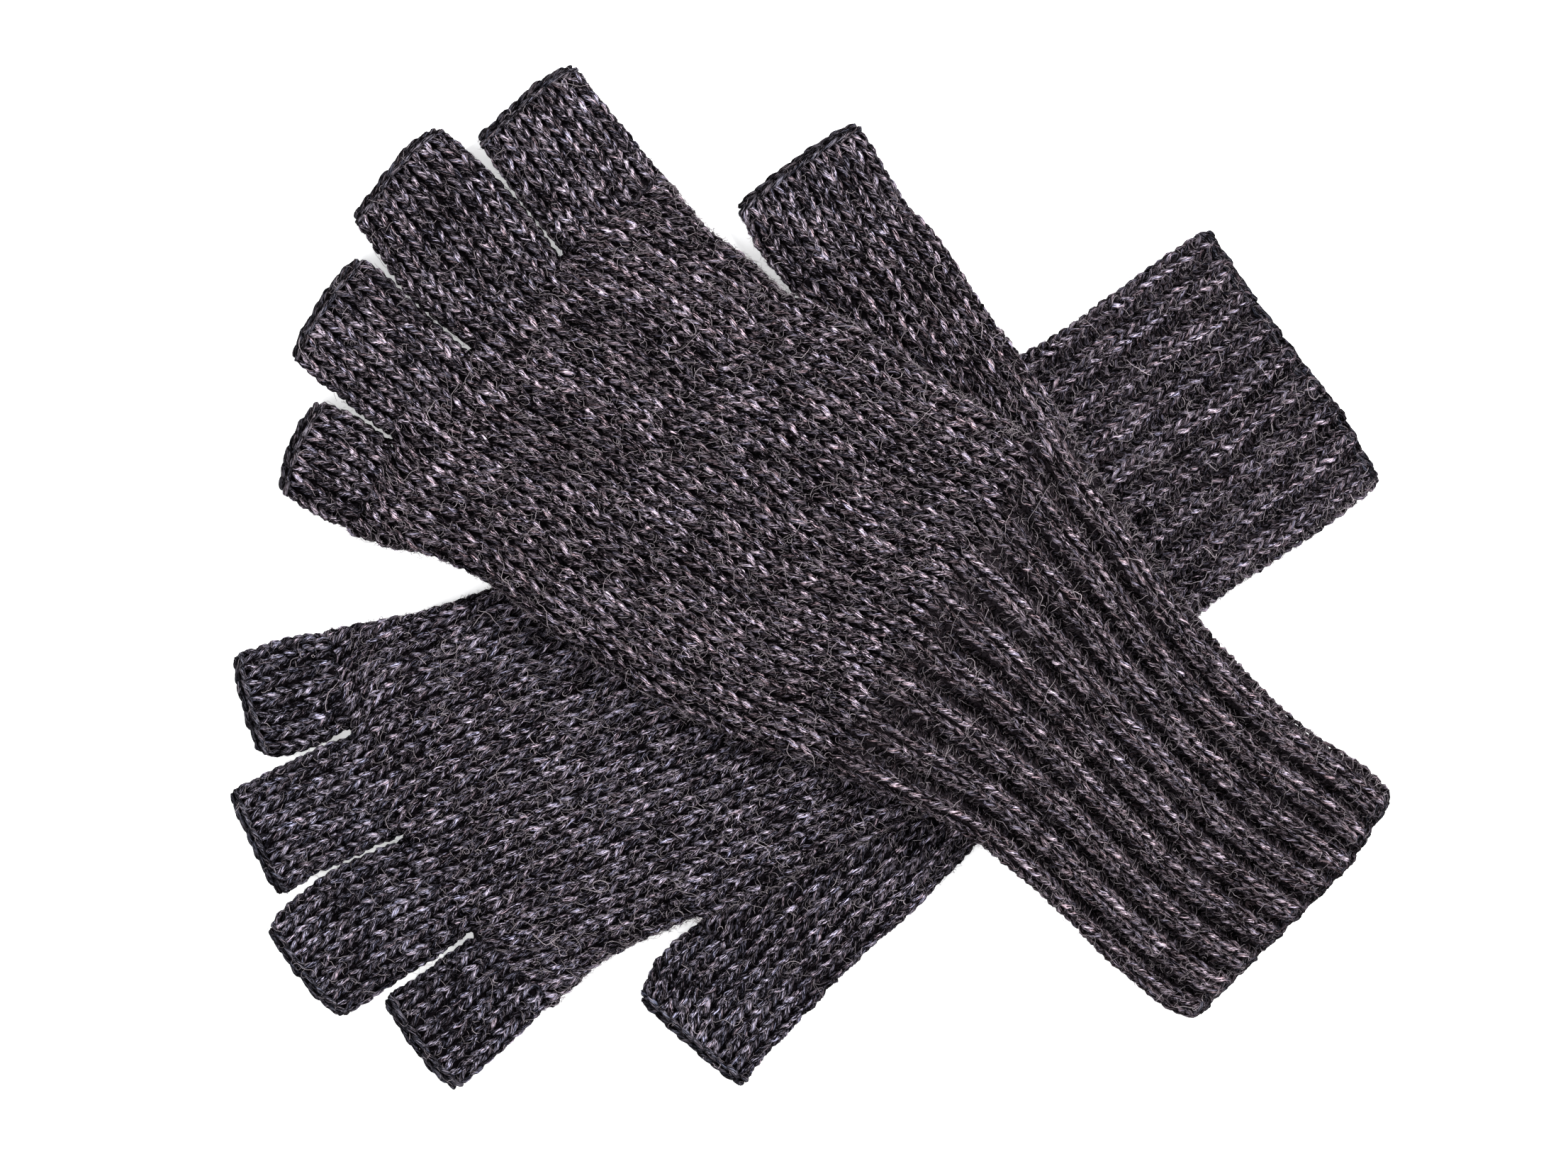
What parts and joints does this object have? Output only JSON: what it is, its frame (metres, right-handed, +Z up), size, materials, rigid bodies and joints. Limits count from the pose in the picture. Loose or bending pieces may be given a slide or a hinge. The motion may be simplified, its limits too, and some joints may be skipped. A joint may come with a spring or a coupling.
{
  "type": "pair of fingerless gloves",
  "caption": "Pair of knitted half-finger gloves lying flat, one across the other, with open finger and thumb tubes, stockinette hands and deep ribbed cuffs.",
  "frame": {"origin": "under the centre of the pair's bounding box, on the surface the gloves lie on", "axes": "+X along the pair's longest extent, from the fingers to the cuffs; +Y across, towards the upper glove's thumb; +Z up, the shortest extent"},
  "size_m": [0.2264, 0.1976, 0.0181],
  "materials": {
    "hand_wool": "charcoal melange stockinette knit in a soft wool blend, matt with short light hairs",
    "cuff_wool": "the same yarn in a deep rib of two knit wales and one recessed purl wale",
    "edge_wool": "the same yarn in a bound-off chain edge",
    "finger_wool": "charcoal melange stockinette knit in narrow tubes"
  },
  "bodies": {
    "lower_glove": {"lower_hand": "hand_wool", "lower_cuff": "cuff_wool", "lower_cuff_edge": "edge_wool"},
    "lower_index": {"lower_index_finger": "finger_wool", "lower_index_edge": "edge_wool"},
    "lower_middle": {"lower_middle_finger": "finger_wool", "lower_middle_edge": "edge_wool"},
    "lower_ring": {"lower_ring_finger": "finger_wool", "lower_ring_edge": "edge_wool"},
    "lower_little": {"lower_little_finger": "finger_wool", "lower_little_edge": "edge_wool"},
    "lower_thumb": {"lower_thumb_tube": "finger_wool", "lower_thumb_edge": "edge_wool"},
    "upper_glove": {"upper_hand": "hand_wool"},
    "upper_wrist": {"upper_cuff": "cuff_wool", "upper_cuff_edge": "edge_wool"},
    "upper_index": {"upper_index_finger": "finger_wool", "upper_index_edge": "edge_wool"},
    "upper_middle": {"upper_middle_finger": "finger_wool", "upper_middle_edge": "edge_wool"},
    "upper_ring": {"upper_ring_finger": "finger_wool", "upper_ring_edge": "edge_wool"},
    "upper_little": {"upper_little_finger": "finger_wool", "upper_little_edge": "edge_wool"},
    "upper_thumb": {"upper_thumb_tube": "finger_wool", "upper_thumb_edge": "edge_wool"}
  },
  "joints": [
    {"name": "upper_glove_lift", "type": "slide", "parent": "lower_glove", "child": "upper_glove", "axis": [0, 0, 1], "range_m": [0, 0.12]},
    {"name": "lower_index_bend", "type": "hinge", "parent": "lower_glove", "child": "lower_index", "pos_m": [-0.05769, -0.07632, 0.0089], "axis": [-0.7062, 0.708, 0], "range_deg": [0, 60]},
    {"name": "lower_middle_bend", "type": "hinge", "parent": "lower_glove", "child": "lower_middle", "pos_m": [-0.07183, -0.05979, 0.0089], "axis": [-0.5987, 0.801, 0], "range_deg": [0, 60]},
    {"name": "lower_ring_bend", "type": "hinge", "parent": "lower_glove", "child": "lower_ring", "pos_m": [-0.08374, -0.03991, 0.0089], "axis": [-0.4223, 0.9065, 0], "range_deg": [0, 60]},
    {"name": "lower_little_bend", "type": "hinge", "parent": "lower_glove", "child": "lower_little", "pos_m": [-0.09199, -0.01976, 0.0089], "axis": [-0.3288, 0.9444, 0], "range_deg": [0, 60]},
    {"name": "lower_thumb_bend", "type": "hinge", "parent": "lower_glove", "child": "lower_thumb", "pos_m": [-0.00993, -0.07556, 0.0089], "axis": [-0.7607, 0.6492, 0], "range_deg": [0, 75]},
    {"name": "upper_index_bend", "type": "hinge", "parent": "upper_glove", "child": "upper_index", "pos_m": [-0.03796, 0.07084, 0.0089], "axis": [0.7336, 0.6795, 0], "range_deg": [0, 60]},
    {"name": "upper_middle_bend", "type": "hinge", "parent": "upper_glove", "child": "upper_middle", "pos_m": [-0.05649, 0.05297, 0.0089], "axis": [0.7052, 0.709, 0], "range_deg": [0, 60]},
    {"name": "upper_ring_bend", "type": "hinge", "parent": "upper_glove", "child": "upper_ring", "pos_m": [-0.0731, 0.03515, 0.0089], "axis": [0.6557, 0.755, 0], "range_deg": [0, 60]},
    {"name": "upper_little_bend", "type": "hinge", "parent": "upper_glove", "child": "upper_little", "pos_m": [-0.08568, 0.0178, 0.0122], "axis": [0.5002, 0.8659, 0], "range_deg": [0, 60]},
    {"name": "upper_thumb_bend", "type": "hinge", "parent": "upper_glove", "child": "upper_thumb", "pos_m": [0.00944, 0.06295, 0.0089], "axis": [0.8394, 0.5436, 0], "range_deg": [0, 75]},
    {"name": "upper_wrist_bend", "type": "hinge", "parent": "upper_glove", "child": "upper_wrist", "pos_m": [0.02536, -0.00192, 0.01815], "axis": [-0.545, -0.8384, 0], "range_deg": [0, 60]}
  ]
}
